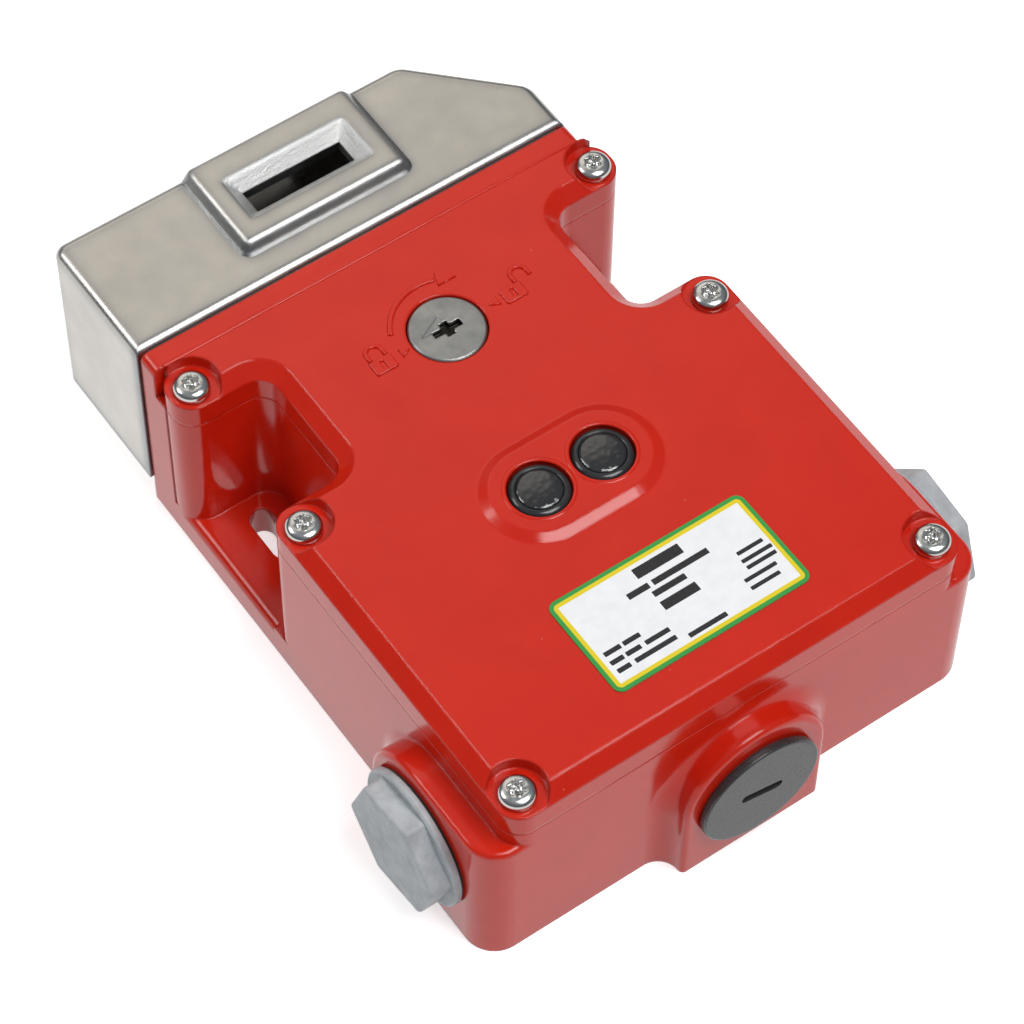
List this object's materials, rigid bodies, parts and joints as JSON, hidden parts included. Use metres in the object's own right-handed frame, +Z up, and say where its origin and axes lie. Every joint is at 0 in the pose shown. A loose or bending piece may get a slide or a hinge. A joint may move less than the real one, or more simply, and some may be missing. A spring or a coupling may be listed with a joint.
{
  "type": "tongue interlock switch",
  "caption": "Guard interlock switch with a die-cast body, steel tongue head, lock solenoid, contact block, plugged conduit entries and a key release.",
  "frame": {"origin": "on the flat back face, midway between the two fixing slots", "axes": "+Z up through the cover, +Y along the body towards the tongue head, +X across the body"},
  "size_m": [0.136, 0.1736, 0.0538],
  "materials": {
    "red_paint": "gloss enamel",
    "head_steel": "polished cast stainless",
    "screw_steel": "bright",
    "works_steel": "turned and ground",
    "release_steel": "turned",
    "spring_steel": "drawn",
    "plated_sheet": "zinc plated",
    "black_rubber": "matt",
    "coil_copper": "enamelled wire",
    "contact_brass": "bright",
    "black_moulding": "moulded",
    "white_moulding": "moulded",
    "terminal_moulding": "moulded",
    "board_laminate": "lacquered laminate",
    "grey_plug": "moulded",
    "black_plug": "satin",
    "clear_lens": "clear",
    "lamp_body": "moulded",
    "plate": "printed"
  },
  "bodies": {
    "switch_body": {"housing": "red_paint", "cover": "red_paint", "head": "head_steel", "lid_screws": "screw_steel", "head_screws": "screw_steel", "plunger_guide_screws": "screw_steel", "solenoid_screws": "screw_steel", "contact_block_screws": "screw_steel", "terminal_screws": "screw_steel", "board_screws": "screw_steel", "earth_screw": "screw_steel", "lamp_board_screws": "screw_steel", "cam_pin": "works_steel", "plunger_spring": "spring_steel", "lock_spring": "spring_steel", "solenoid_frame": "plated_sheet", "plunger_guide": "plated_sheet", "cover_gasket": "black_rubber", "head_gasket": "black_rubber", "rod_seals": "black_rubber", "entry_plug_washers": "black_rubber", "solenoid_winding": "coil_copper", "fixed_contacts": "contact_brass", "contact_block": "black_moulding", "solenoid_bobbin": "black_moulding", "lamp_bezels": "black_moulding", "terminal_blocks": "terminal_moulding", "terminal_board": "board_laminate", "lamp_board": "board_laminate", "left_entry_plug": "grey_plug", "right_entry_plug": "grey_plug", "end_entry_plug": "black_plug", "lamp_lenses": "clear_lens", "lamps": "lamp_body", "rating_plate": "plate"},
    "cam": {"cam_wheel": "works_steel"},
    "contact_plunger": {"plunger": "works_steel", "contact_carriage": "white_moulding", "contact_bridges": "contact_brass"},
    "lock": {"lock_slide": "works_steel", "armature": "works_steel"},
    "release": {"release_shaft": "release_steel", "release_cam": "works_steel", "release_seal": "black_rubber", "release_clip": "works_steel", "release_cam_screw": "screw_steel"}
  },
  "joints": [
    {"name": "cam_turn", "type": "hinge", "parent": "switch_body", "child": "cam", "pos_m": [-0.003, 0.042, 0.029], "axis": [-1, 0, 0], "range_deg": [0, 45]},
    {"name": "plunger_slide", "type": "slide", "parent": "switch_body", "child": "contact_plunger", "axis": [0, 1, 0], "range_m": [0, 0.004], "deforming": ["plunger_spring"]},
    {"name": "release_turn", "type": "hinge", "parent": "switch_body", "child": "release", "pos_m": [0, -0.003, 0.045], "axis": [0, 0, -1], "range_deg": [0, 180]},
    {"name": "lock_slide", "type": "slide", "parent": "switch_body", "child": "lock", "axis": [0, -1, 0], "range_m": [0, 0.003], "deforming": ["lock_spring"]}
  ],
  "couplings": [
    {"joint": "cam_turn", "follows": "plunger_slide", "rad_per_m": 196.34},
    {"joint": "release_turn", "follows": "lock_slide", "rad_per_m": 1047.2}
  ]
}
